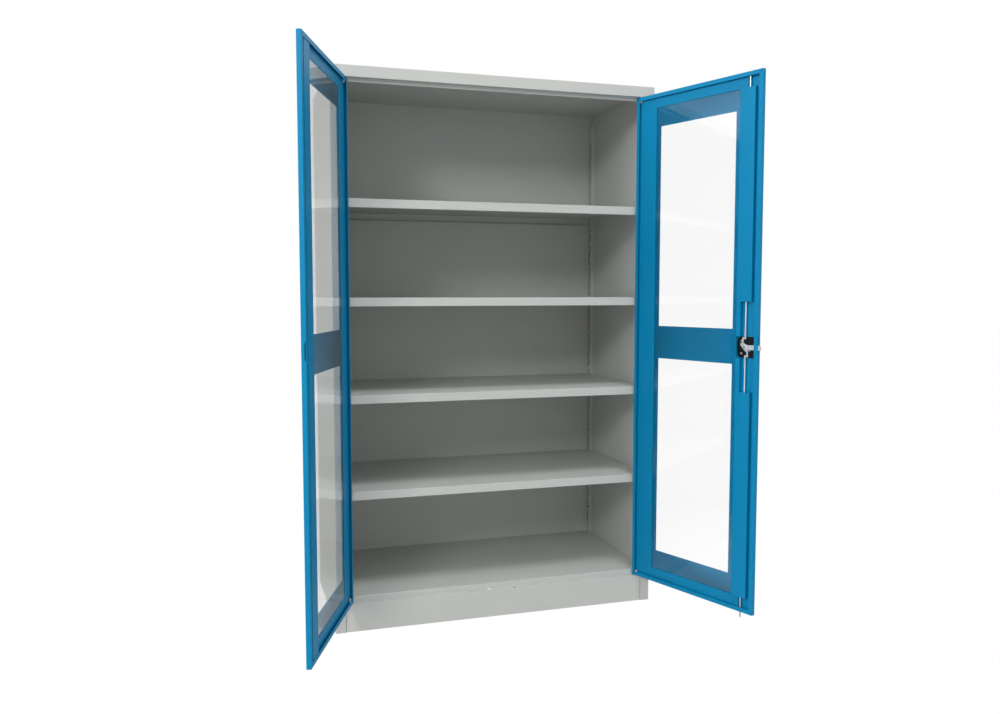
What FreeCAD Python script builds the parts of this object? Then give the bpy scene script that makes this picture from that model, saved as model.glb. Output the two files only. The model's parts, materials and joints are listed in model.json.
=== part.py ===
import FreeCAD, Part
import math
import os
import Sketcher

# Double-door steel cabinet with glazed doors, standing open.
# Origin at the centre of the base on the floor, +X right, +Y into the cabinet, +Z up.

SIZES = {
    # carcass
    "width": 1200,
    "depth": 600,
    "height": 1950,
    "gauge": 1,  # sheet thickness of every folded piece
    "bend": 1.2,  # outside radius of a fold
    "stile": 35,  # face of the side panel beside the door
    "rebate": 23,  # depth of the rebate the doors close into
    "rear_flange": 25,
    "fascia": 38.5,
    "stop_lip": 12,
    "plinth_height": 99.5,
    "plinth_recess": 2,
    "floor_height": 119.5,
    "hem": 20,
    "floor_fold": 30,
    "floor_gap": 10,
    "back_inset": 12,
    "rail_flange": 28,
    "hat_wide": 60,
    "hat_brim": 15,
    "plinth_gap": 1.3,  # open seam between the plinth and the side faces
    "seam": 0.3,  # play between neighbouring sheet pieces
    # shelf uprights and shelves
    "post_stand": 15,
    "post_web": 26,
    "post_flange": 17,
    "post_front": 42,
    "post_drop": 45,
    "slot_wide": 13,
    "slot_tall": 7,
    "slot_pitch": 34,
    "shelf_low": 490,
    "shelf_pitch": 340,
    "shelf_fold": 30,
    "shelf_return": 14,
    "shelf_set": 28,
    "shelf_gap": 7,
    "notch_play": 3,
    "clip_wide": 10,
    "clip_plate": 1.5,
    "clip_tab": 22,
    "clip_drop": 12,
    "hook_drop": 20,
    "hook_tall": 5,
    "hook_reach": 5,
    # doors
    "door_thick": 15,
    "door_set": 0.5,
    "hinge_gap": 2,
    "centre_gap": 6,
    "door_gap": 2.5,
    "door_lip": 14,
    "open_angle": 110,
    "pivot_in": 13.5,
    "pivot_back": 5.5,
    "pin_radius": 2.5,
    "pin_head": 4.5,
    "pin_tail": 2,
    "pin_reach": 22,
    "running": 0.05,
    "bush_wall": 1.5,
    "bush_flange": 2.2,
    "bush_length": 16,
    "window_side": 112,
    "window_end": 118,
    "mid_rail": 119.6,
    "pane_thick": 4,
    "pane_bed": 14,
    "frame_drop": 1.5,
    "stile_wide": 93,
    "rail_wide": 49,
    "free_wide": 60,
    "free_gap": 15.5,
    "mitre_gap": 0.8,
    "rivet_radius": 2.2,
    "rivet_head": 1.2,
    "rivet_step": 17,
    "rivet_low": 260,
    "rivet_high": 226,
    # lock
    "lock_in": 54,  # spindle from the free edge
    "spindle_radius": 5,
    "spindle_thread": 3,
    "rod_radius": 3,
    "rod_deep": 7.2,
    "rod_reach": 20,
    "rod_travel": 20,
    "rod_flat": 67,
    "link_wide": 13,
    "link_arm": 6,
    "link_plate": 2,
    "link_deep": 6.9,
    "cam_deep": 10.5,
    "cam_plate": 2.5,
    "cam_lobe": 4.8,
    "nose_reach": 12,
    "nose_half": 8,
    "crank_pin": 2,
    "yoke_play": 0.7,
    "slot_play": 1.5,
    "nut_radius": 7,
    "nut_thick": 1.8,
    "case_wide": 66,
    "case_tall": 70,
    "case_plate": 1.4,
    "case_deep": 5.2,
    "case_round": 16,
    "case_box": 48,
    "case_rim": 4,
    "screw_radius": 3.5,
    "screw_head": 1.2,
    "screw_shank": 2,
    "screw_rise": 21,
    "screw_in": 16,
    "lock_cutout": 152,
    "lock_strip": 17,
    "shield_wide": 46,
    "shield_tall": 110,
    "shield_thick": 4,
    "knob_gap": 0.3,
    "knob_hub": 17,
    "knob_stand": 10,
    "knob_long": 84,
    "knob_wide": 20,
    "knob_thick": 13,
    "key_radius": 6,
    "key_deep": 11,
    "key_proud": 1,
    "key_slot": 7,
    "key_blade": 2,
    "guide_wall": 2.5,
    "catch_play": 2,
    "plug_radius": 8,
    "plug_shank": 5,
    "plug_head": 1.2,
    "plug_offset": 40,
    "plug_back": 14,
}

SHELVES = 4
SLOTS = 50
FIRST_SLOT = 9                  # slots below the hook of the lowest shelf

doc = FreeCAD.newDocument("cabinet")
sheet = doc.addObject("Spreadsheet::Sheet", "dims")
nodes = []


class Length:
    """A length that carries both its value and the expression it comes from."""

    def __init__(self, text, value):
        self.text = text
        self.value = value

    def join(self, other, sign, value):
        return Length("(%s %s %s)" % (self.text, sign, other.text), value)

    def __add__(self, other):
        other = length(other)
        return self.join(other, "+", self.value + other.value)

    def __sub__(self, other):
        other = length(other)
        return self.join(other, "-", self.value - other.value)

    def __mul__(self, other):
        other = length(other)
        return self.join(other, "*", self.value * other.value)

    def __truediv__(self, other):
        other = length(other)
        return self.join(other, "/", self.value / other.value)

    def __radd__(self, other):
        return length(other) + self

    def __rsub__(self, other):
        return length(other) - self

    def __rmul__(self, other):
        return length(other) * self

    def __neg__(self):
        return length(-1) * self


def length(item):
    return item if isinstance(item, Length) else Length("(%r)" % item, item)


def root(item):
    return Length("sqrt%s" % item.text, item.value ** 0.5)


class Sizes:
    """The sheet's named cells, each as a Length."""

    def __getattr__(self, name):
        return Length("dims." + name, float(getattr(sheet, name)))


def fill_sheet():
    for row, (name, value) in enumerate(SIZES.items(), 1):
        sheet.set("A%d" % row, name)
        sheet.set("B%d" % row, str(value))
        sheet.setAlias("B%d" % row, name)
    doc.recompute()


def bind(item, path, value):
    item.setExpression(path, length(value).text)


def rect(low_a, high_a, low_b, high_b):
    return [(low_a, low_b), (high_a, low_b), (high_a, high_b), (low_a, high_b)]


def facets(across, up, radius, count):
    """The corners of a regular polygon."""
    turns = [2 * math.pi * number / count for number in range(count)]
    waves = [(round(math.cos(turn), 6), round(math.sin(turn), 6)) for turn in turns]
    return [(across + radius * a, up + radius * b) for a, b in waves]


class Circle:
    def __init__(self, across, up, radius):
        self.across = length(across)
        self.up = length(up)
        self.radius = length(radius)


PLANES = {"plan": ("XY_Plane", 1), "front": ("XZ_Plane", -1), "side": ("YZ_Plane", 1)}


def tie_point(sketch, ties, geometry, end, across, up):
    for kind, value in (("DistanceX", across), ("DistanceY", up)):
        value = length(value)
        ties.append((Sketcher.Constraint(kind, -1, 1, geometry, end, value.value), value.text))


def draw_polygon(sketch, points, ties):
    spots = [FreeCAD.Vector(length(a).value, length(b).value, 0) for a, b in points]
    ring = spots[1:] + spots[:1]
    lines = sketch.addGeometry([Part.LineSegment(p, q) for p, q in zip(spots, ring)], False)
    for line, following in zip(lines, list(lines[1:]) + [lines[0]]):
        ties.append((Sketcher.Constraint("Coincident", line, 2, following, 1), None))
    for line, (across, up) in zip(lines, points):
        tie_point(sketch, ties, line, 1, across, up)


def draw_circle(sketch, circle, ties):
    centre = FreeCAD.Vector(circle.across.value, circle.up.value, 0)
    ring = sketch.addGeometry(Part.Circle(centre, FreeCAD.Vector(0, 0, 1), circle.radius.value), False)
    tie_point(sketch, ties, ring, 3, circle.across, circle.up)
    ties.append((Sketcher.Constraint("Radius", ring, circle.radius.value), circle.radius.text))


def draw(body, plane, start, loops):
    """A sketch on one of the body's own planes, every corner tied to the sheet."""
    role, facing = PLANES[plane]
    sketch = body.newObject("Sketcher::SketchObject", "outline")
    planes = [item for item in body.Origin.OriginFeatures if item.Role == role]
    sketch.AttachmentSupport = (planes[0], [""])
    sketch.MapMode = "FlatFace"
    bind(sketch, "AttachmentOffset.Base.z", facing * length(start))
    ties = []
    for loop in loops:
        if isinstance(loop, Circle):
            draw_circle(sketch, loop, ties)
        else:
            draw_polygon(sketch, loop, ties)
    rows = sketch.addConstraint([tie for tie, text in ties])
    for row, (tie, text) in zip(rows, ties):
        if text:
            sketch.setExpression("Constraints[%d]" % row, text)
    return sketch


def pad(body, plane, start, end, *loops):
    """Add material from start to end along the plane's axis."""
    sketch = draw(body, plane, start, loops)
    feature = body.newObject("PartDesign::Pad", "pad")
    feature.Profile = sketch
    feature.Reversed = plane == "front"
    bind(feature, "Length", length(end) - length(start))
    sketch.Visibility = False
    return feature


def cut(body, plane, start, end, *loops):
    """Take material away from start to end along the plane's axis."""
    sketch = draw(body, plane, start, loops)
    feature = body.newObject("PartDesign::Pocket", "pocket")
    feature.Profile = sketch
    feature.Reversed = plane != "front"
    bind(feature, "Length", length(end) - length(start))
    sketch.Visibility = False
    return feature


def row_of(body, feature, axis, step, count):
    """Repeat a feature along one of the body's axes."""
    pattern = body.newObject("PartDesign::LinearPattern", "row")
    pattern.Originals = [feature]
    axes = [item for item in body.Origin.OriginFeatures if item.Role == axis]
    pattern.Direction = (axes[0], [""])
    pattern.Occurrences = count
    bind(pattern, "Length", (count - 1) * length(step))
    body.Tip = pattern


def along(edge, plane, spot):
    """True when an edge runs square to the plane through the given spot."""
    pick = {"plan": (0, 1), "front": (0, 2), "side": (1, 2)}[plane]
    ends = [vertex.Point for vertex in edge.Vertexes]
    if len(ends) < 2:
        return False
    return all(abs(end[axis] - want) < 1e-4 for end in ends for axis, want in zip(pick, spot))


def fold(body, plane, *spots, radius=None):
    """Round the outside of the folds that run square to the plane through the given spots."""
    doc.recompute()
    base = body.Tip
    wanted = [(length(a).value, length(b).value) for a, b in spots]
    names = []
    for number, edge in enumerate(base.Shape.Edges, 1):
        if any(along(edge, plane, spot) for spot in wanted):
            names.append("Edge%d" % number)
    fillet = body.newObject("PartDesign::Fillet", "fold")
    fillet.Base = (base, names)
    bind(fillet, "Radius", d.bend if radius is None else radius)


def piece(label):
    body = doc.addObject("PartDesign::Body", label)
    body.Label = label
    body.AllowCompound = True
    nodes.append(body)
    return body


fill_sheet()
d = Sizes()

# Shared levels and planes
half = d.width / 2
front = -d.depth / 2
back = d.depth / 2
top = d.height - d.gauge
stop = front + d.rebate                     # plane of the riser and of the stop lip
soffit = d.height - d.fascia                # underside of the fascia
back_face = back - d.back_inset
door_low = d.plinth_height + d.door_gap
door_high = soffit - d.door_gap
door_wide = half - d.stile - d.hinge_gap - d.centre_gap / 2
pivot_x = half - d.stile - d.hinge_gap - d.pivot_in
pivot_y = front + d.door_set + d.pivot_back
lock_z = (door_low + door_high) / 2
lock_u = door_wide - d.lock_in
rod_x = pivot_x + d.pivot_in - lock_u
rod_y = front + d.door_set + d.rod_deep
SIDES = {"left": -1, "right": 1}


def rod_keep():
    """Slot that a locking rod shoots into."""
    across = d.rod_radius + d.catch_play
    deep = d.rod_radius + d.catch_play / 2
    return rect(rod_x - across, rod_x + across, rod_y - deep, rod_y + deep)


def side_panel(name, side):
    body = piece(name + "_side_panel")
    inner = half - d.stile
    shape = [(inner, stop), (inner, front), (half, front), (half, back), (half - d.rear_flange, back),
             (half - d.rear_flange, back - d.gauge), (half - d.gauge, back - d.gauge),
             (half - d.gauge, front + d.gauge), (inner + d.gauge, front + d.gauge), (inner + d.gauge, stop)]
    pad(body, "plan", 0, top, [(side * x, y) for x, y in shape])
    # the face stops under the fascia, the web runs on behind it
    above = [(inner - 1, front - 1), (half + 1, front - 1), (half + 1, front + d.gauge),
             (half - d.gauge, front + d.gauge), (half - d.gauge, stop + 1), (inner - 1, stop + 1)]
    cut(body, "plan", soffit, d.height, [(side * x, y) for x, y in above])
    fold(body, "plan", (side * inner, front), (side * half, front), (side * half, back))


def back_panel():
    body = piece("back_panel")
    edge = half - d.gauge - d.seam
    rear = back - d.gauge
    pad(body, "plan", 0, top, [
        (-edge, back_face), (edge, back_face), (edge, rear), (edge - d.gauge, rear),
        (edge - d.gauge, back_face + d.gauge), (d.gauge - edge, back_face + d.gauge),
        (d.gauge - edge, rear), (-edge, rear)])


def top_panel():
    body = piece("top_panel")
    lip = stop + d.gauge
    pad(body, "side", -half, half, [
        (front, d.height), (front, soffit), (stop, soffit), (stop, soffit - d.stop_lip),
        (lip, soffit - d.stop_lip), (lip, soffit + d.gauge), (front + d.gauge, soffit + d.gauge),
        (front + d.gauge, top), (back, top), (back, d.height)])
    # the return and stop lip end inside the side panels
    for side in SIDES.values():
        ends = sorted([side * (half - d.gauge - d.seam), side * (half + 1)], key=lambda item: item.value)
        cut(body, "side", ends[0], ends[1],
            rect(front + d.gauge, lip + 1, soffit - d.stop_lip - 1, soffit + d.gauge + 1))
    cut(body, "plan", soffit - 1, soffit + d.gauge + 1,
        Circle(-pivot_x, pivot_y, d.pin_radius + d.running), Circle(pivot_x, pivot_y, d.pin_radius + d.running),
        rod_keep())
    fold(body, "side", (front, d.height), (front, soffit))


def base_panel():
    body = piece("base_panel")
    face = front + d.plinth_recess
    ledge = d.plinth_height - d.gauge
    rear = back_face - d.seam
    inner = half - d.stile - d.plinth_gap
    pad(body, "side", -inner, inner, [
        (face, 0), (face, d.plinth_height), (stop, d.plinth_height), (stop, d.floor_height),
        (rear, d.floor_height), (rear, d.floor_height - d.floor_fold),
        (rear - d.gauge, d.floor_height - d.floor_fold), (rear - d.gauge, d.floor_height - d.gauge),
        (stop + d.gauge, d.floor_height - d.gauge), (stop + d.gauge, ledge),
        (face + d.gauge, ledge), (face + d.gauge, d.gauge), (face + d.hem, d.gauge), (face + d.hem, 0)])
    # the floor runs on behind the side faces
    wide = half - d.floor_gap
    pad(body, "plan", d.floor_height - d.gauge, d.floor_height, rect(-wide, wide, stop + d.seam, rear))
    cut(body, "plan", ledge - 1, d.plinth_height + 1,
        Circle(-pivot_x, pivot_y, d.pin_radius + d.running), Circle(pivot_x, pivot_y, d.pin_radius + d.running),
        rod_keep(),
        Circle(-d.plug_offset, front + d.plug_back, d.plug_shank + d.running))
    fold(body, "side", (face, d.plinth_height), (stop, d.floor_height), (face, 0))


def base_rails():
    high = d.floor_height - d.gauge
    for name, side in SIDES.items():
        body = piece(name + "_base_rail")
        out = half - d.gauge
        tip = out - d.rail_flange
        shape = [(tip, 0), (out, 0), (out, high), (tip, high), (tip, high - d.gauge),
                 (out - d.gauge, high - d.gauge), (out - d.gauge, d.gauge), (tip, d.gauge)]
        pad(body, "front", stop + d.gauge + d.seam, back_face - d.seam, [(side * x, z) for x, z in shape])
    # a hat channel carries the middle of the floor
    body = piece("floor_stiffener")
    foot = d.hat_wide / 2
    brim = foot + d.hat_brim
    shape = [(-foot, 0), (foot, 0), (foot, high - d.gauge), (brim, high - d.gauge), (brim, high),
             (foot - d.gauge, high), (foot - d.gauge, d.gauge), (d.gauge - foot, d.gauge), (d.gauge - foot, high), (-brim, high),
             (-brim, high - d.gauge), (-foot, high - d.gauge)]
    pad(body, "front", stop + d.gauge + d.seam, back_face - 2 * d.gauge - d.rail_flange - 2 * d.seam, shape)
    body = piece("rear_base_rail")
    web = back_face - d.seam - d.gauge
    tip = web - d.rail_flange
    inner = half - d.gauge - d.rail_flange - d.seam
    pad(body, "side", -inner, inner, [
        (tip, 0), (web, 0), (web, high), (tip, high), (tip, high - d.gauge),
        (web - d.gauge, high - d.gauge), (web - d.gauge, d.gauge), (tip, d.gauge)])


# Shelf uprights: the rear pair also laps the back panel
post_x = half - d.gauge - d.post_stand
post_z = d.height - d.post_drop
slot_low = d.shelf_low - d.hook_drop - FIRST_SLOT * d.slot_pitch


def post(label, side, near, shape):
    body = piece(label)
    pad(body, "plan", d.floor_height, post_z, [(side * x, y) for x, y in shape])
    middle = near + d.post_web / 2
    sill = slot_low - d.slot_tall / 2
    ends = sorted([side * (post_x - 1), side * (post_x + d.gauge + 1)], key=lambda item: item.value)
    slot = cut(body, "side", ends[0], ends[1],
               rect(middle - d.slot_wide / 2, middle + d.slot_wide / 2, sill, sill + d.slot_tall))
    row_of(body, slot, "Z_Axis", d.slot_pitch, SLOTS)


def posts():
    wall = half - d.gauge
    near = front + d.post_front
    far = near + d.post_web
    lap = back_face - d.post_web
    for name, side in SIDES.items():
        post("front_%s_post" % name, side, near, [
            (wall, near), (post_x, near), (post_x, far), (wall, far), (wall, far - d.gauge),
            (post_x + d.gauge, far - d.gauge), (post_x + d.gauge, near + d.gauge), (wall, near + d.gauge)])
        post("rear_%s_post" % name, side, lap, [
            (wall, lap), (post_x, lap), (post_x, back_face - d.gauge), (post_x - d.post_flange, back_face - d.gauge),
            (post_x - d.post_flange, back_face), (post_x + d.gauge, back_face),
            (post_x + d.gauge, lap + d.gauge), (wall, lap + d.gauge)])


def shelf(number):
    body = piece("shelf_%d" % (number + 1))
    level = d.shelf_low + number * d.shelf_pitch
    under = level - d.shelf_fold
    near = front + d.shelf_set
    rear = back_face - d.gauge - d.seam
    wide = half - d.shelf_gap
    pad(body, "side", -wide, wide, [
        (near + d.shelf_return, under), (near, under), (near, level), (rear, level), (rear, under),
        (rear - d.shelf_return, under), (rear - d.shelf_return, under + d.gauge), (rear - d.gauge, under + d.gauge),
        (rear - d.gauge, level - d.gauge), (near + d.gauge, level - d.gauge),
        (near + d.gauge, under + d.gauge), (near + d.shelf_return, under + d.gauge)])
    # notches round the uprights, and folded ends between them
    inner = post_x - d.notch_play
    front_notch = (front + d.post_front - d.notch_play, front + d.post_front + d.post_web + d.notch_play)
    rear_notch = (back_face - d.post_web - d.notch_play, back_face)
    cut(body, "plan", under - 1, level + 1, *[
        rect(side * inner, side * (wide + 1), low, high)
        for side in SIDES.values() for low, high in (front_notch, rear_notch)])
    pad(body, "plan", under, level - d.gauge / 2, *[
        rect(side * (wide - d.gauge), side * wide, front_notch[1], rear_notch[0]) for side in SIDES.values()])
    fold(body, "side", (near, level), (near, under))


def shelf_clips():
    """One clip to each corner of each shelf, hooked into the uprights."""
    body = piece("shelf_clips")
    middles = [front + d.post_front + d.post_web / 2, back_face - d.post_web / 2]
    level = d.shelf_low - d.gauge
    hook = d.shelf_low - d.hook_drop
    low = d.shelf_low - d.shelf_fold - d.clip_drop
    for side in SIDES.values():
        shape = [(post_x - d.clip_tab, level), (post_x - d.clip_tab, level - d.clip_plate),
                 (post_x - d.clip_plate, level - d.clip_plate), (post_x - d.clip_plate, low), (post_x, low),
                 (post_x, hook - d.hook_tall / 2), (post_x + d.hook_reach, hook - d.hook_tall / 2),
                 (post_x + d.hook_reach, hook + d.hook_tall / 2), (post_x, hook + d.hook_tall / 2), (post_x, level)]
        for middle in middles:
            clip = pad(body, "front", middle - d.clip_wide / 2, middle + d.clip_wide / 2,
                       [(side * x, z) for x, z in shape])
            row_of(body, clip, "Z_Axis", d.shelf_pitch, SHELVES)


def pivot_pins():
    """For each door a plain pin standing in the ledge and a headed pin hanging from the fascia return."""
    body = piece("pivot_pins")
    landing = soffit + d.gauge
    both = [-pivot_x, pivot_x]
    shanks = [Circle(x, pivot_y, d.pin_radius) for x in both]
    heads = [facets(x, pivot_y, d.pin_head, 8) for x in both]
    pad(body, "plan", d.plinth_height - d.gauge - d.pin_tail, d.plinth_height + d.pin_reach, *shanks)
    pad(body, "plan", soffit - d.pin_reach, landing + d.pin_tail, *shanks)
    pad(body, "plan", landing, landing + d.pin_tail, *heads)


def ledge_plug():
    body = piece("ledge_plug")
    x, y = -d.plug_offset, front + d.plug_back
    pad(body, "plan", d.plinth_height, d.plinth_height + d.plug_head, Circle(x, y, d.plug_radius))
    pad(body, "plan", d.plinth_height - 4 * d.gauge, d.plinth_height, facets(x, y, d.plug_shank, 8))


# Door pieces are drawn closed, measured from the hinge axis, and then swung open.
# u runs from the hinge edge to the free edge, v from the front face inwards.


class Door:
    def __init__(self, name):
        self.name = name
        self.side = SIDES[name]

    def u(self, value):
        return self.side * (d.pivot_in - value)

    def v(self, value):
        return length(value) - d.pivot_back

    def span(self, low, high):
        return sorted([self.u(low), self.u(high)], key=lambda item: item.value)

    def piece(self, label):
        body = piece(label)
        body.Placement = FreeCAD.Placement(
            FreeCAD.Vector(0, 0, 0), FreeCAD.Rotation(FreeCAD.Vector(0, 0, self.side), d.open_angle.value))
        bind(body, "Placement.Rotation.Angle", d.open_angle)
        bind(body, "Placement.Base.x", self.side * pivot_x)
        bind(body, "Placement.Base.y", pivot_y)
        return body

    def face(self, low, high, bottom, upper):
        """A rectangle on the door's face."""
        return rect(self.u(low), self.u(high), bottom, upper)

    def through(self, body, low, high, *loops):
        cut(body, "front", self.v(low), self.v(high), *loops)

    def plate(self, body, low, high, *loops):
        pad(body, "front", self.v(low), self.v(high), *loops)


pan_wall = d.gauge + d.seam                     # outer edge of the frame strips, against the pan's walls
frame_deep = d.door_thick - d.frame_drop
pane_back = d.gauge + d.pane_thick
strip_deep = pane_back + d.gauge
stile_in = d.stile_wide
rail_in = d.rail_wide
free_out = door_wide - d.door_lip - d.free_gap
free_in = free_out - d.free_wide
nose_radius = d.lock_in + d.nose_reach
nose_slot = (d.cam_deep - 2 * d.seam, d.cam_deep + d.cam_plate + 2 * d.seam)


def guide_block(door):
    """Outline of a rod guide where it stands in the door's edge."""
    half_block = d.rod_radius + d.running + d.guide_wall
    return rect(door.u(lock_u - half_block), door.u(lock_u + half_block),
                door.v(d.rod_deep - half_block), door.v(d.rod_deep + half_block))


def door_skin(door):
    body = door.piece(door.name + "_door_skin")
    window = (door_high - door_low - 2 * d.window_end - d.mid_rail) / 2
    lights = [door.face(d.window_side, door_wide - d.window_side, low, low + window)
              for low in (door_low + d.window_end, door_high - d.window_end - window)]
    outer = door.face(0, door_wide, door_low, door_high)

    def inset(by):
        return door.face(by, door_wide - by, door_low + by, door_high - by)

    door.plate(body, 0, d.gauge, outer, *lights)
    door.plate(body, 0, d.door_thick, outer, inset(d.gauge))
    door.plate(body, d.door_thick - d.gauge, d.door_thick, outer, inset(d.door_lip))
    # the lips meet in open mitres
    tip, end = d.bend + d.mitre_gap, d.door_lip + d.gauge
    for u, way in ((length(0), 1), (door_wide, -1)):
        for z, rise in ((door_low, 1), (door_high, -1)):
            mitre = [(tip, tip + d.mitre_gap), (tip, tip), (tip + d.mitre_gap, tip),
                     (end, end - d.mitre_gap), (end, end), (end - d.mitre_gap, end)]
            door.through(body, d.door_thick - d.gauge, d.door_thick + 1,
                         [(door.u(u + way * a), z + rise * b) for a, b in mitre])
    # pivot holes and guide openings in the top and bottom edges
    for level in (door_low, door_high - d.gauge):
        holes = [Circle(0, 0, d.pin_radius + 2 * d.running + d.bush_wall)]
        if door.name == "right":
            holes.append(guide_block(door))
        cut(body, "plan", level - 1, level + d.gauge + 1, *holes)
    # the cam's nose passes the free edges through tall slots
    swept = nose_radius * nose_radius + d.nose_half * d.nose_half
    rise = root(swept - (d.lock_in - d.gauge) * (d.lock_in - d.gauge)) + d.slot_play
    ends = door.span(door_wide - 2 * d.gauge, door_wide + 1)
    cut(body, "side", ends[0], ends[1],
        rect(door.v(nose_slot[0]), door.v(nose_slot[1]), lock_z - d.nose_half - d.slot_play, lock_z + rise))
    if door.name == "right":
        door.through(body, -1, d.gauge + 1, Circle(door.u(lock_u), lock_z, d.spindle_radius + d.seam))
    corner = (door.u(0), door.u(door_wide))
    fold(body, "plan", *[(x, door.v(depth)) for x in corner for depth in (0, d.door_thick)])


def pane(door):
    body = door.piece(door.name + "_pane")
    low = door_low + rail_in - d.pane_bed
    high = door_high - rail_in + d.pane_bed
    door.plate(body, d.gauge, pane_back, door.face(stile_in - d.pane_bed, free_in + d.pane_bed, low, high))


def hinge_stile(door):
    """A strip that beds the pane on the hinge side, its edge folded down onto the skin."""
    body = door.piece(door.name + "_hinge_stile")
    bottom, upper = door_low + pan_wall, door_high - pan_wall
    shape = [(pan_wall, d.gauge), (pan_wall, strip_deep), (stile_in, strip_deep), (stile_in, pane_back),
             (pan_wall + d.gauge, pane_back), (pan_wall + d.gauge, d.gauge)]
    pad(body, "plan", bottom, upper, [(door.u(u), door.v(v)) for u, v in shape])
    # notches round the pivot bushes and the pins' ends
    play = d.pin_radius + 3 * d.bush_wall
    tall = d.pin_reach
    door.through(body, pane_back - 1, strip_deep + 1, *[
        door.face(d.pivot_in - play, d.pivot_in + play, low, high)
        for low, high in ((bottom - 1, bottom + tall), (upper - tall, upper + 1))])


def free_stile(door):
    """A folded channel on the free side, one wall on the pane and the other on the skin."""
    body = door.piece(door.name + "_free_stile")
    clear = rail_in + d.seam if door.name == "right" else pan_wall
    web = frame_deep - d.gauge
    shape = [(free_in, pane_back), (free_in, frame_deep), (free_out, frame_deep), (free_out, d.gauge),
             (free_out - d.gauge, d.gauge), (free_out - d.gauge, web), (free_in + d.gauge, web),
             (free_in + d.gauge, pane_back)]
    pad(body, "plan", door_low + clear, door_high - clear, [(door.u(u), door.v(v)) for u, v in shape])
    fold(body, "plan", (door.u(free_in), door.v(frame_deep)), (door.u(free_out), door.v(frame_deep)))
    if door.name == "left":
        return
    # the lock stands in a cut-out, a strip of the stile runs on beside the pane with its edge folded down
    edge = free_in + d.lock_strip
    case = d.case_tall / 2 + 1
    door.through(body, d.gauge - 1, d.door_thick,
                 door.face(edge, free_out + 1, lock_z - d.lock_cutout, lock_z + d.lock_cutout))
    door.through(body, strip_deep + 2 * d.gauge, d.door_thick,
                 door.face(free_in + 2 * d.gauge, edge + 1, lock_z - case, lock_z + case))
    for low, high in ((lock_z - d.lock_cutout, lock_z - case), (lock_z + case, lock_z + d.lock_cutout)):
        door.plate(body, d.gauge, frame_deep, door.face(edge - d.gauge, edge, low, high))


def rail(door, label, outer, inner):
    """A strip that beds the pane across the door, its edge folded down onto the skin."""
    body = door.piece(label)
    way = 1 if inner.value > outer.value else -1
    shape = [(d.gauge, outer), (strip_deep, outer), (strip_deep, inner), (pane_back, inner),
             (pane_back, outer + way * d.gauge), (d.gauge, outer + way * d.gauge)]
    last = lock_u - d.rod_radius * 3 if door.name == "right" else free_in - d.seam
    ends = door.span(stile_in + d.seam, last)
    pad(body, "side", ends[0], ends[1], [(door.v(v), z) for v, z in shape])


def door_frame(door):
    hinge_stile(door)
    free_stile(door)
    rail(door, door.name + "_bottom_rail", door_low + pan_wall, door_low + rail_in)
    rail(door, door.name + "_top_rail", door_high - pan_wall, door_high - rail_in)


def pivot_bushes(door):
    """Flanged bushes in the door's edges, turning on the pins."""
    body = door.piece(door.name + "_pivot_bushes")
    bore = Circle(0, 0, d.pin_radius + d.running)
    sleeve = Circle(0, 0, d.pin_radius + d.running + d.bush_wall)
    collar = facets(length(0), length(0), d.pin_radius + d.running + 2 * d.bush_wall, 12)
    pad(body, "plan", door_low - d.bush_flange, door_low, collar, bore)
    pad(body, "plan", door_low - d.bush_flange / 2, door_low + d.bush_length, sleeve, bore)
    pad(body, "plan", door_high, door_high + d.bush_flange, collar, bore)
    pad(body, "plan", door_high - d.bush_length, door_high + d.bush_flange / 2, sleeve, bore)


def hinge_rivets(door):
    """Two groups of three rivets in the lip beside the hinge edge."""
    body = door.piece(door.name + "_hinge_rivets")
    heads = []
    for level in (door_low + d.rivet_low, door_high - d.rivet_high):
        for step, u in ((-1, d.door_lip * 0.75), (0, d.door_lip * 0.35), (1, d.door_lip * 0.75)):
            heads.append(facets(door.u(u), level + step * d.rivet_step, d.rivet_radius, 8))
    door.plate(body, d.door_thick, d.door_thick + d.rivet_head, *heads)


# Lock on the right door
screw_u = lock_u - d.screw_in
screw_levels = [lock_z - d.screw_rise, lock_z + d.screw_rise]


def lock_case(door):
    body = door.piece("lock_case")
    low = lock_u - d.case_wide / 2
    high = lock_u + d.case_wide / 2
    bottom, upper = lock_z - d.case_tall / 2, lock_z + d.case_tall / 2
    door.plate(body, d.case_deep, d.case_deep + d.case_plate, door.face(low, high, bottom, upper))
    door.plate(body, d.gauge, d.case_deep + d.case_plate / 2,
               door.face(high - d.case_box, high, bottom + d.case_rim, upper - d.case_rim))
    door.through(body, 0, d.door_thick, Circle(door.u(lock_u), lock_z, d.spindle_radius + d.running), *[
        Circle(door.u(screw_u), level, d.screw_shank + d.running) for level in screw_levels])
    fold(body, "front", (door.u(low), bottom), (door.u(low), upper), radius=d.case_round)


def lock_screws(door):
    """Hexagon nuts on the studs that are welded to the skin and hold the lock case."""
    body = door.piece("lock_screws")
    face = d.case_deep + d.case_plate
    spots = [(door.u(screw_u), level) for level in screw_levels]
    door.plate(body, face, face + d.screw_head, *[facets(x, z, d.screw_radius, 6) for x, z in spots])
    door.plate(body, d.gauge, face, *[facets(x, z, d.screw_shank, 8) for x, z in spots])


def handle_shield(door):
    body = door.piece("handle_shield")
    low, high = lock_u - d.shield_wide / 2, lock_u + d.shield_wide / 2
    bottom, upper = lock_z - d.shield_tall / 2, lock_z + d.shield_tall / 2
    door.plate(body, -d.shield_thick, 0, door.face(low, high, bottom, upper))
    door.through(body, -d.shield_thick - 1, 1, Circle(door.u(lock_u), lock_z, d.spindle_radius + d.running))
    fold(body, "front", *[(door.u(u), z) for u in (low, high) for z in (bottom, upper)], radius=d.screw_radius)


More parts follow.
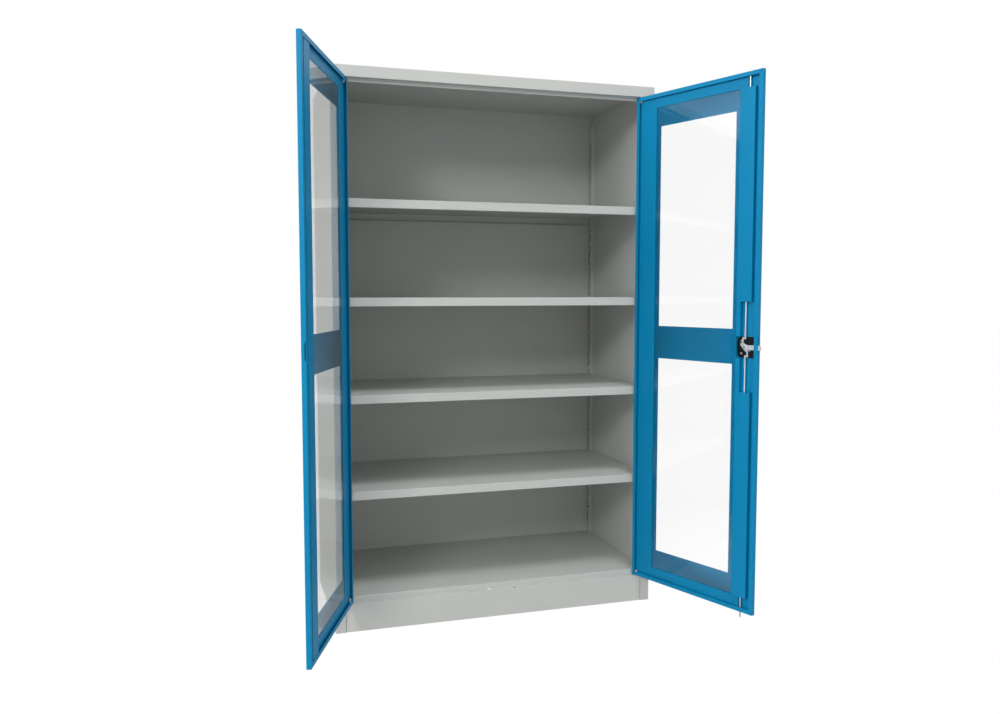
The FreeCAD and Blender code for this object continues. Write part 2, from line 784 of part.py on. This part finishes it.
def turn_handle(door):
    """A wing handle in front of the door, its spindle running through to the cam."""
    body = door.piece("turn_handle")
    centre = (door.u(lock_u), lock_z)
    near = -d.shield_thick - d.knob_gap
    grip = near - d.knob_stand
    face = grip - d.knob_thick
    door.plate(body, grip, near, Circle(*centre, d.knob_hub))
    wing = door.face(lock_u - d.knob_wide / 2, lock_u + d.knob_wide / 2,
                     lock_z - d.knob_long / 2, lock_z + d.knob_long / 2)
    door.plate(body, face, grip, wing)
    door.plate(body, near, d.cam_deep + d.cam_plate, Circle(*centre, d.spindle_radius))
    door.plate(body, near, d.cam_deep + d.cam_plate + d.nut_thick, Circle(*centre, d.spindle_thread))
    fold(body, "front", *[(x, z) for x, z in wing], radius=d.knob_wide * 0.4)
    door.through(body, face - 1, face + d.key_deep, Circle(*centre, d.key_radius + d.running))


def key_cylinder(door):
    body = door.piece("key_cylinder")
    face = -d.shield_thick - d.knob_gap - d.knob_stand - d.knob_thick
    centre = (door.u(lock_u), lock_z)
    door.plate(body, face - d.key_proud, face + d.key_deep - d.seam, Circle(*centre, d.key_radius))
    door.through(body, face - d.key_proud - 1, face + d.key_deep / 2,
                 door.face(lock_u - d.key_blade / 2, lock_u + d.key_blade / 2,
                           lock_z - d.key_slot / 2, lock_z + d.key_slot / 2))


crank = d.rod_travel / 2                        # height of a crank pin over or under the spindle


def lock_cam(door):
    """Two-lobed plate with the locking nose and the two crank pins that pull the rods."""
    body = door.piece("lock_cam")
    near, far = d.cam_deep, d.cam_deep + d.cam_plate
    lobe = crank + d.cam_lobe
    flat = crank - d.cam_lobe
    outline = [(-lobe, flat), (flat, -lobe), (crank + d.crank_pin, -lobe), (lobe, -crank - d.crank_pin),
               (lobe, -d.nose_half), (nose_radius, -d.nose_half), (nose_radius, d.nose_half), (crank, d.nose_half),
               (-flat, lobe), (-crank - d.crank_pin, lobe), (-lobe, crank + d.crank_pin)]
    door.plate(body, near, far, [(door.u(lock_u + across), lock_z + up) for across, up in outline],
               Circle(door.u(lock_u), lock_z, d.spindle_radius + d.running / 2))
    door.plate(body, d.link_deep, near + d.cam_plate / 2,
               facets(door.u(lock_u - crank), lock_z + crank, d.crank_pin, 12),
               facets(door.u(lock_u + crank), lock_z - crank, d.crank_pin, 12))
    tip = lock_u + nose_radius
    fold(body, "front", (door.u(tip), lock_z - d.nose_half), (door.u(tip), lock_z + d.nose_half),
         radius=d.crank_pin)


def cam_nut(door):
    body = door.piece("cam_nut")
    near = d.cam_deep + d.cam_plate
    door.plate(body, near, near + d.nut_thick, facets(door.u(lock_u), lock_z, d.nut_radius, 6),
               Circle(door.u(lock_u), lock_z, d.spindle_thread + d.running / 2))


def rod(door, label, way):
    """A round bolt with a flat cranked link that rides on its crank pin; way is +1 up, -1 down."""
    body = door.piece(label)
    axis = (door.u(lock_u), door.v(d.rod_deep))
    reach = door_high + d.rod_reach if way > 0 else door_low - d.rod_reach
    ends = sorted([lock_z + way * d.rod_flat, reach], key=lambda item: item.value)
    pad(body, "plan", ends[0], ends[1], Circle(*axis, d.rod_radius))
    half_link = d.rod_radius + d.seam
    inner = d.spindle_radius + d.gauge
    outer = inner + d.link_wide
    arm = inner + d.link_arm
    foot = crank - d.spindle_radius
    knee = foot + d.link_wide * 0.7
    shoulder = d.rod_travel + d.spindle_radius + 2 * d.gauge
    link = [(half_link, d.rod_flat + 1), (half_link, shoulder), (-inner, shoulder), (-inner, foot), (-outer, foot),
            (-outer, knee), (-arm, knee), (-arm, shoulder + d.link_arm), (-half_link, shoulder + d.link_arm),
            (-half_link, d.rod_flat + 1)]
    door.plate(body, d.link_deep, d.link_deep + d.link_plate,
               [(door.u(lock_u + way * across), lock_z + way * up) for across, up in link])
    # the yoke slot lets the crank pin wander sideways as the cam turns
    far = root(2 * crank * crank) + d.crank_pin + d.yoke_play
    near = crank - d.crank_pin - d.yoke_play
    tall = d.crank_pin + d.yoke_play
    door.through(body, 0, d.door_thick, door.face(lock_u - way * far, lock_u - way * near,
                                                  lock_z + way * crank - tall, lock_z + way * crank + tall))


def rod_guides(door):
    """Guide blocks where the rods leave the door's top and bottom edges."""
    body = door.piece("rod_guides")
    bore = Circle(door.u(lock_u), door.v(d.rod_deep), d.rod_radius + d.running)
    for low, high in ((door_low, door_low + d.bush_length / 2), (door_high - d.bush_length / 2, door_high)):
        pad(body, "plan", low, high, guide_block(door), bore)


for name, side in SIDES.items():
    side_panel(name, side)
back_panel()
top_panel()
base_panel()
base_rails()
posts()
for number in range(SHELVES):
    shelf(number)
shelf_clips()
pivot_pins()
ledge_plug()
for name in SIDES:
    leaf = Door(name)
    door_skin(leaf)
    pane(leaf)
    door_frame(leaf)
    pivot_bushes(leaf)
    hinge_rivets(leaf)
locked = Door("right")
for build in (lock_case, lock_screws, handle_shield, turn_handle, key_cylinder, lock_cam, cam_nut, rod_guides):
    build(locked)
rod(locked, "upper_rod", 1)
rod(locked, "lower_rod", -1)

doc.recompute()
os.makedirs("parts", exist_ok=True)
for item in doc.Objects:
    if "Invalid" in item.State or "Error" in item.State:
        raise RuntimeError("feature failed: %s %s" % (item.Name, item.State))
for node in nodes:
    if node.Shape.isNull() or not node.Shape.isValid() or not node.Shape.Solids:
        raise RuntimeError("bad shape: " + node.Label)
for node in nodes:
    node.Shape.exportStep("parts/%s.step" % node.Label)
    print(node.Label, len(node.Shape.Solids), round(node.Shape.Volume / 1000, 2))
print(len(nodes), "nodes")
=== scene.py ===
import json
import math

import bpy
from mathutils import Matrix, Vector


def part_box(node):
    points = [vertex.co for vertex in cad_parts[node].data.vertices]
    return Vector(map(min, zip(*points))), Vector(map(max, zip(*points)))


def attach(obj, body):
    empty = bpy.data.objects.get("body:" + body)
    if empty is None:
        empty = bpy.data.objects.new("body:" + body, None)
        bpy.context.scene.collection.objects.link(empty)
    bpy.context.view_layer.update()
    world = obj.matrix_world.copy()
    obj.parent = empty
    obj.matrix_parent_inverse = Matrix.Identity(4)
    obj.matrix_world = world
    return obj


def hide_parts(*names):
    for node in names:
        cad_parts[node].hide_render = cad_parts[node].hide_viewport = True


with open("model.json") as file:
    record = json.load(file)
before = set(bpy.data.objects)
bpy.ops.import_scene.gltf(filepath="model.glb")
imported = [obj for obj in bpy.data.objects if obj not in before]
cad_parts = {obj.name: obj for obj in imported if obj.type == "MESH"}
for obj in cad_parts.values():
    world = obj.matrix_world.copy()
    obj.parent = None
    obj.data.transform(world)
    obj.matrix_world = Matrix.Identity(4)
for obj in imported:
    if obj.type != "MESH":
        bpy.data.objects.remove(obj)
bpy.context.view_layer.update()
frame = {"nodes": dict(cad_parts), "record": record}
nodes = frame["nodes"]

# Uprights, in metres. The CAD has every second slot; the real ones are punched at each step.
GAUGE = 0.001
STAND = 0.015
SLOT_STEP = 0.017
SLOT_ROWS = 99
LOWEST_SLOT = 0.164
SLOT_RIM = 0.0035
ON_THE_LINE = GAUGE / 100
SAME_POINT = GAUGE / 10

# Studio, in metres and radians.
AIM = (0, 0, 1.0)
FLOOR_SPAN = 60
SHADE_INSET = 0.005
SHADE_LIFT = 0.0004
LENS = 31.766
EYE = (-0.9301, -3.3353, 1.1889)
LOOK_DOWN = 0.0732
LOOK_RIGHT = 0.2967


def linear(colour):
    """An sRGB hex colour as the linear RGBA that a shader takes."""
    channels = [int(colour[i:i + 2], 16) / 255 for i in (1, 3, 5)]
    return [c / 12.92 if c <= 0.04045 else ((c + 0.055) / 1.055) ** 2.4 for c in channels] + [1]


def add(tree, kind, values=None, links=None, **settings):
    """One node, with its settings, the numbers on its sockets, and the outputs that feed it."""
    node = tree.nodes.new(kind)
    for name, value in settings.items():
        setattr(node, name, value)
    for socket, value in (values or {}).items():
        node.inputs[socket].default_value = value
    for socket, (source, output) in (links or {}).items():
        tree.links.new(source.outputs[output], node.inputs[socket])
    return node


def start(name):
    """An empty material and its tree."""
    material = bpy.data.materials.new(name)
    material.use_nodes = True
    material.node_tree.nodes.clear()
    return material, material.node_tree


def close(material, tree, shader, output="BSDF"):
    """The material with the shader on its surface."""
    add(tree, "ShaderNodeOutputMaterial", links={"Surface": (shader, output)})
    return material


def powder_coat(name, colour, shade):
    """Polyester powder baked on sheet steel: an even semi-matt skin with a fine orange peel of about
    2.5 mm, a film that is a touch thicker in patches of 180 mm, and no brush or spray marks."""
    patch = 0.180
    dimple = 0.0025
    material, tree = start(name)
    place = add(tree, "ShaderNodeTexCoord")
    film = add(tree, "ShaderNodeTexNoise", {"Scale": 1 / patch, "Detail": 3.0},
               {"Vector": (place, "Object")})
    tone = add(tree, "ShaderNodeValToRGB", links={"Fac": (film, "Fac")})
    tone.color_ramp.elements[0].position = 0.3
    tone.color_ramp.elements[0].color = linear(shade)
    tone.color_ramp.elements[1].position = 0.7
    tone.color_ramp.elements[1].color = linear(colour)
    gloss = add(tree, "ShaderNodeMapRange", {"To Min": 0.40, "To Max": 0.48}, {"Value": (film, "Fac")})
    peel = add(tree, "ShaderNodeTexNoise", {"Scale": 1 / dimple, "Detail": 2.0},
               {"Vector": (place, "Object")})
    skin = add(tree, "ShaderNodeBump", {"Strength": 0.06, "Distance": 0.0002}, {"Height": (peel, "Fac")})
    shader = add(tree, "ShaderNodeBsdfPrincipled", {"IOR": 1.5, "Specular IOR Level": 0.15},
                 {"Base Color": (tone, "Color"), "Roughness": (gloss, "Result"),
                  "Normal": (skin, "Normal")})
    return close(material, tree, shader)


def float_glass(name):
    """Clear float glass, 4 mm: nearly colourless, mirror flat, with the faintest film on its faces in
    patches of 90 mm. Lamps shine through it onto the sheet behind."""
    patch = 0.090
    material, tree = start(name)
    place = add(tree, "ShaderNodeTexCoord")
    film = add(tree, "ShaderNodeTexNoise", {"Scale": 1 / patch, "Detail": 4.0},
               {"Vector": (place, "Object")})
    haze = add(tree, "ShaderNodeMapRange", {"To Min": 0.0, "To Max": 0.03}, {"Value": (film, "Fac")})
    shader = add(tree, "ShaderNodeBsdfPrincipled",
                 {"Base Color": linear("#FFFFFF"), "IOR": 1.46, "Transmission Weight": 1.0},
                 {"Roughness": (haze, "Result")})
    path = add(tree, "ShaderNodeLightPath")
    clear = add(tree, "ShaderNodeBsdfTransparent", {"Color": linear("#AEB3B4")})
    both = add(tree, "ShaderNodeMixShader",
               links={0: (path, "Is Shadow Ray"), 1: (shader, "BSDF"), 2: (clear, "BSDF")})
    return close(material, tree, both, "Shader")


def zinc_plate(name):
    """Bright zinc on cold-drawn steel: a pale blue-white metal with drawing lines along the rod,
    half a millimetre apart on the piece and drawn at 1.2 mm here so that they show."""
    line_gap = 0.0012
    line_run = 0.060
    material, tree = start(name)
    place = add(tree, "ShaderNodeTexCoord")
    along = add(tree, "ShaderNodeMapping", {"Scale": (1 / line_gap, 1 / line_gap, 1 / line_run)},
                {"Vector": (place, "Object")})
    lines = add(tree, "ShaderNodeTexNoise", {"Scale": 1.0, "Detail": 3.0}, {"Vector": (along, "Vector")})
    tone = add(tree, "ShaderNodeValToRGB", links={"Fac": (lines, "Fac")})
    tone.color_ramp.elements[0].position = 0.25
    tone.color_ramp.elements[0].color = linear("#CED4D9")
    tone.color_ramp.elements[1].position = 0.75
    tone.color_ramp.elements[1].color = linear("#EAEEF2")
    gloss = add(tree, "ShaderNodeMapRange", {"To Min": 0.36, "To Max": 0.48}, {"Value": (lines, "Fac")})
    skin = add(tree, "ShaderNodeBump", {"Strength": 0.1, "Distance": 0.0001}, {"Height": (lines, "Fac")})
    shader = add(tree, "ShaderNodeBsdfPrincipled", {"Metallic": 1.0},
                 {"Base Color": (tone, "Color"), "Roughness": (gloss, "Result"),
                  "Normal": (skin, "Normal")})
    return close(material, tree, shader)


def moulded_plastic(name, colour, shade, grain, rough):
    """Injection-moulded plastic: one colour right through, a spark-eroded satin grain on its faces."""
    spread = 0.05
    material, tree = start(name)
    place = add(tree, "ShaderNodeTexCoord")
    pits = add(tree, "ShaderNodeTexNoise", {"Scale": 1 / grain, "Detail": 2.0},
               {"Vector": (place, "Object")})
    tone = add(tree, "ShaderNodeValToRGB", links={"Fac": (pits, "Fac")})
    tone.color_ramp.elements[0].color = linear(shade)
    tone.color_ramp.elements[1].color = linear(colour)
    gloss = add(tree, "ShaderNodeMapRange", {"To Min": rough - spread, "To Max": rough + spread},
                {"Value": (pits, "Fac")})
    skin = add(tree, "ShaderNodeBump", {"Strength": 0.15, "Distance": 0.0001}, {"Height": (pits, "Fac")})
    shader = add(tree, "ShaderNodeBsdfPrincipled", {"IOR": 1.53, "Specular IOR Level": 0.25},
                 {"Base Color": (tone, "Color"), "Roughness": (gloss, "Result"),
                  "Normal": (skin, "Normal")})
    return close(material, tree, shader)


def lit_acrylic(name):
    """Opal acrylic lit from below: white to the eye, with no shine and no shadow on it."""
    material, tree = start(name)
    shader = add(tree, "ShaderNodeBsdfPrincipled",
                 {"Base Color": linear("#101010"), "Roughness": 0.9, "Specular IOR Level": 0.0,
                  "Emission Color": linear("#FFFFFF"), "Emission Strength": 1.0})
    return close(material, tree, shader)


def painted_shade_acrylic(name):
    """A dull dark grey sheet on the floor where the cabinet covers it: painted shade that stands in for the
    dark where no light comes.
    """
    material, tree = start(name)
    shader = add(tree, "ShaderNodeBsdfPrincipled", {"Base Color": linear("#3A3A39"), "Roughness": 0.9})
    return close(material, tree, shader)


finishes = {
    "grey_paint": powder_coat("light_grey_powder_coat", "#C6C8C4", "#C4C6C2"),
    "blue_paint": powder_coat("light_blue_powder_coat", "#0385B5", "#0383B3"),
    "clear_pane": float_glass("clear_float_glass"),
    "plated_steel": zinc_plate("bright_zinc_plate"),
    "black_plastic": moulded_plastic("black_abs", "#0C0C0D", "#070708", grain=0.0008, rough=0.30),
    "white_nylon": moulded_plastic("natural_nylon", "#F1F1EC", "#EAEAE4", grain=0.0006, rough=0.42),
}
for part in frame["record"]["subparts"]:
    for slot in nodes[part["node"]].material_slots:
        slot.material = finishes[part["material_slot"]]


def strip(middle, deep, tall):
    """A flat strip of sheet that stands upright and runs from front to back."""
    bpy.ops.object.select_all(action="DESELECT")
    bpy.ops.mesh.primitive_plane_add(size=1)
    bpy.ops.object.mode_set(mode="EDIT")
    bpy.ops.transform.resize(value=(deep, tall, 1))
    for axis in ("X", "Z"):
        bpy.ops.transform.rotate(value=math.pi / 2, orient_axis=axis, center_override=(0, 0, 0))
    bpy.ops.transform.translate(value=middle)
    bpy.ops.object.mode_set(mode="OBJECT")
    return bpy.context.active_object


def wing(sheet, line, reach):
    """Draws the sheet's upright edge at one depth out sideways."""
    bpy.ops.object.mode_set(mode="EDIT")
    bpy.ops.mesh.select_mode(type="VERT")
    bpy.ops.mesh.select_all(action="DESELECT")
    bpy.ops.object.mode_set(mode="OBJECT")
    for vertex in sheet.data.vertices:
        vertex.select = abs(vertex.co.y - line) < ON_THE_LINE
    bpy.ops.object.mode_set(mode="EDIT")
    bpy.ops.mesh.extrude_region_move(TRANSFORM_OT_translate={"value": (reach, 0, 0)})
    bpy.ops.object.mode_set(mode="OBJECT")


def punched_web(across, near, far, low, high):
    """The slotted sheet of an upright: one pitch with its slot, repeated, and a plain piece at each end."""
    middle = (near + far) / 2
    foot = LOWEST_SLOT - SLOT_STEP / 2
    head = foot + SLOT_ROWS * SLOT_STEP
    ends = [strip((across, middle, (bottom + top) / 2), far - near, top - bottom)
            for bottom, top in ((low, foot), (head, high))]
    sheet = strip((across, middle, LOWEST_SLOT), far - near, SLOT_STEP)
    bpy.ops.object.mode_set(mode="EDIT")
    bpy.ops.mesh.select_all(action="SELECT")
    bpy.ops.mesh.inset(thickness=SLOT_RIM)
    bpy.ops.mesh.delete(type="FACE")
    bpy.ops.object.mode_set(mode="OBJECT")
    row = sheet.modifiers.new("row", "ARRAY")
    row.count = SLOT_ROWS
    row.use_relative_offset = False
    row.use_constant_offset = True
    row.constant_offset_displace = (0, 0, SLOT_STEP)
    bpy.ops.object.modifier_apply(modifier=row.name)
    for end in ends:
        end.select_set(True)
    bpy.ops.object.join()
    bpy.ops.object.mode_set(mode="EDIT")
    bpy.ops.mesh.select_all(action="SELECT")
    bpy.ops.mesh.remove_doubles(threshold=SAME_POINT)
    bpy.ops.object.mode_set(mode="OBJECT")
    return sheet


def upright(node, side):
    """A folded upright: the punched web, a front wall, and a rear wall or a lap on the back."""
    low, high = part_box(node)
    wall, inner = (high.x, low.x) if side > 0 else (low.x, high.x)
    web = wall - side * (STAND - GAUGE / 2)
    near, far = low.y + GAUGE / 2, high.y - GAUGE / 2
    sheet = punched_web(web, near, far, low.z, high.z)
    wing(sheet, near, wall - web)
    wing(sheet, far, (inner if node.startswith("rear") else wall) - web)
    skin = sheet.modifiers.new("skin", "SOLIDIFY")
    skin.thickness = GAUGE
    skin.offset = 0
    skin.use_even_offset = True
    bpy.ops.object.modifier_apply(modifier=skin.name)
    sheet.name = node + "_punched"
    sheet.data.materials.append(finishes["grey_paint"])
    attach(sheet, "carcass")
    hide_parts(node)


for corner in ("front", "rear"):
    upright(corner + "_left_post", -1)
    upright(corner + "_right_post", 1)


def lamp(name, azimuth, elevation, distance, size, power):
    """A soft box that looks at the cabinet from a bearing; azimuth 0 is straight in front."""
    light = bpy.data.lights.new(name, "AREA")
    light.shape = "SQUARE"
    light.size = size
    light.energy = power
    holder = bpy.data.objects.new(name, light)
    bpy.context.scene.collection.objects.link(holder)
    turn = math.radians(azimuth)
    rise = math.radians(elevation)
    holder.location = (AIM[0] + distance * math.sin(turn) * math.cos(rise),
                       AIM[1] - distance * math.cos(turn) * math.cos(rise),
                       AIM[2] + distance * math.sin(rise))
    holder.rotation_euler = (math.pi / 2 - rise, 0, turn)


lamp("overhead_softbox", azimuth=4, elevation=63, distance=11.2, size=2.66, power=350)
lamp("left_softbox", azimuth=-34, elevation=23, distance=8.4, size=1.4, power=146)
lamp("side_softbox", azimuth=-78, elevation=18, distance=8.4, size=3.36, power=255)


def white_room():
    """A room that is white to the eye, straight on and through the panes. Faces take part of it as
    fill, and the panes mirror white walls above a duller floor."""
    room = bpy.data.worlds.new("white_room")
    room.use_nodes = True
    tree = room.node_tree
    tree.nodes.clear()
    path = add(tree, "ShaderNodeLightPath")
    bearing = add(tree, "ShaderNodeTexCoord")
    height = add(tree, "ShaderNodeSeparateXYZ", links={"Vector": (bearing, "Generated")})
    dome = add(tree, "ShaderNodeMapRange", {"From Min": -1.0, "To Min": 0.53, "To Max": 0.74},
               {"Value": (height, "Z")})
    fill = add(tree, "ShaderNodeMapRange", {"To Min": 1.0},
               {"Value": (path, "Diffuse Depth"), "To Max": (dome, "Result")})
    mirrored = add(tree, "ShaderNodeMapRange",
                   {"From Min": -0.3, "From Max": 0.2, "To Min": 0.48, "To Max": 1.05},
                   {"Value": (height, "Z")})
    glint = add(tree, "ShaderNodeMath",
                links={0: (path, "Is Reflection Ray"), 1: (path, "Is Diffuse Ray")}, operation="SUBTRACT")
    seen = add(tree, "ShaderNodeMapRange",
               links={"Value": (glint, "Value"), "To Min": (fill, "Result"), "To Max": (mirrored, "Result")})
    air = add(tree, "ShaderNodeBackground", {"Color": linear("#FFFFFF")}, {"Strength": (seen, "Result")})
    add(tree, "ShaderNodeOutputWorld", links={"Surface": (air, "Background")})
    return room


bpy.context.scene.world = white_room()

# The floor is a lit sheet, which keeps it white up to the plinth.
bpy.ops.object.select_all(action="DESELECT")
bpy.ops.mesh.primitive_plane_add(size=FLOOR_SPAN, location=(0, 0, 0))
floor = bpy.context.active_object
floor.name = "studio_floor"
floor.data.materials.append(lit_acrylic("lit_acrylic"))
floor.visible_diffuse = False
floor.visible_glossy = False

# Painted shade: a dark grey sheet under the cabinet stands in for the dark where no lamp reaches.
near_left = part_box("left_side_panel")[0]
far_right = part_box("right_side_panel")[1]
bpy.ops.object.select_all(action="DESELECT")
bpy.ops.mesh.primitive_plane_add(size=1)
bpy.ops.object.mode_set(mode="EDIT")
bpy.ops.transform.resize(value=(far_right.x - near_left.x - 2 * SHADE_INSET,
                                far_right.y - near_left.y - 2 * SHADE_INSET, 1))
bpy.ops.transform.translate(value=(0, 0, SHADE_LIFT))
bpy.ops.object.mode_set(mode="OBJECT")
shade = bpy.context.active_object
shade.name = "painted_shade_under_cabinet"
# The dark grey on this sheet is painted shade, not a colour of the floor.
shade.data.materials.append(painted_shade_acrylic("painted_shade_acrylic"))

camera = bpy.data.cameras.new("camera")
camera.sensor_width = 36
camera.lens = LENS
eye = bpy.data.objects.new("camera", camera)
eye.location = EYE
eye.rotation_euler = (math.pi / 2 - LOOK_DOWN, 0, -LOOK_RIGHT)
bpy.context.scene.collection.objects.link(eye)
bpy.context.scene.camera = eye
bpy.context.scene.view_settings.view_transform = "Standard"
